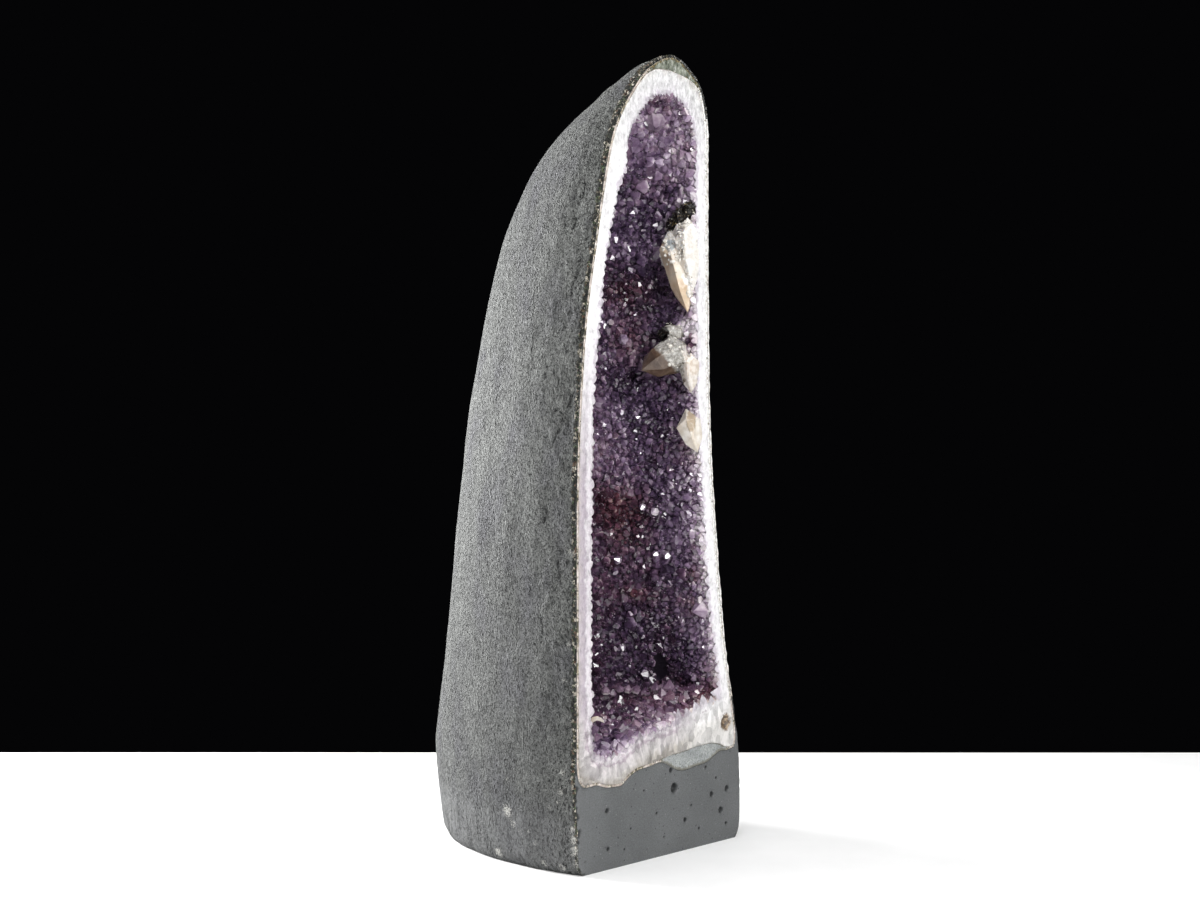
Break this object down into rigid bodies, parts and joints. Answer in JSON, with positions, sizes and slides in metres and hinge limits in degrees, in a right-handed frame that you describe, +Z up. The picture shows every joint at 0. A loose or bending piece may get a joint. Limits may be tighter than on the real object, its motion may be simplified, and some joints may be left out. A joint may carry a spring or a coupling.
{
  "type": "amethyst cathedral geode",
  "caption": "Tall grey-coated rock egg, sawn down its front to open a deep hollow of purple crystals on white quartz with peach calcites, standing on a flat sawn foot",
  "frame": {"origin": "bottom centre of the bounding box, in the plane that the geode stands on", "axes": "+Z up along its height, the sawn face with the hollow towards -Y, +X to the right of that face"},
  "size_m": [0.205, 0.2198, 0.603],
  "materials": {
    "coated_rock": "rough grey cement coat, smooth sawn foot",
    "green_rind": "sawn, slightly translucent",
    "white_quartz": "sawn and polished, translucent",
    "amethyst": "natural glassy crystal faces",
    "calcite": "natural satin crystal faces, translucent",
    "goethite": "natural glittering black grains"
  },
  "bodies": {
    "root": {"cement_shell": "coated_rock", "celadonite_rind": "green_rind", "quartz_band": "white_quartz", "amethyst_crust": "amethyst", "calcite_upper": "calcite", "calcite_middle": "calcite", "calcite_lower": "calcite", "goethite_upper": "goethite", "goethite_middle": "goethite"}
  },
  "joints": []
}
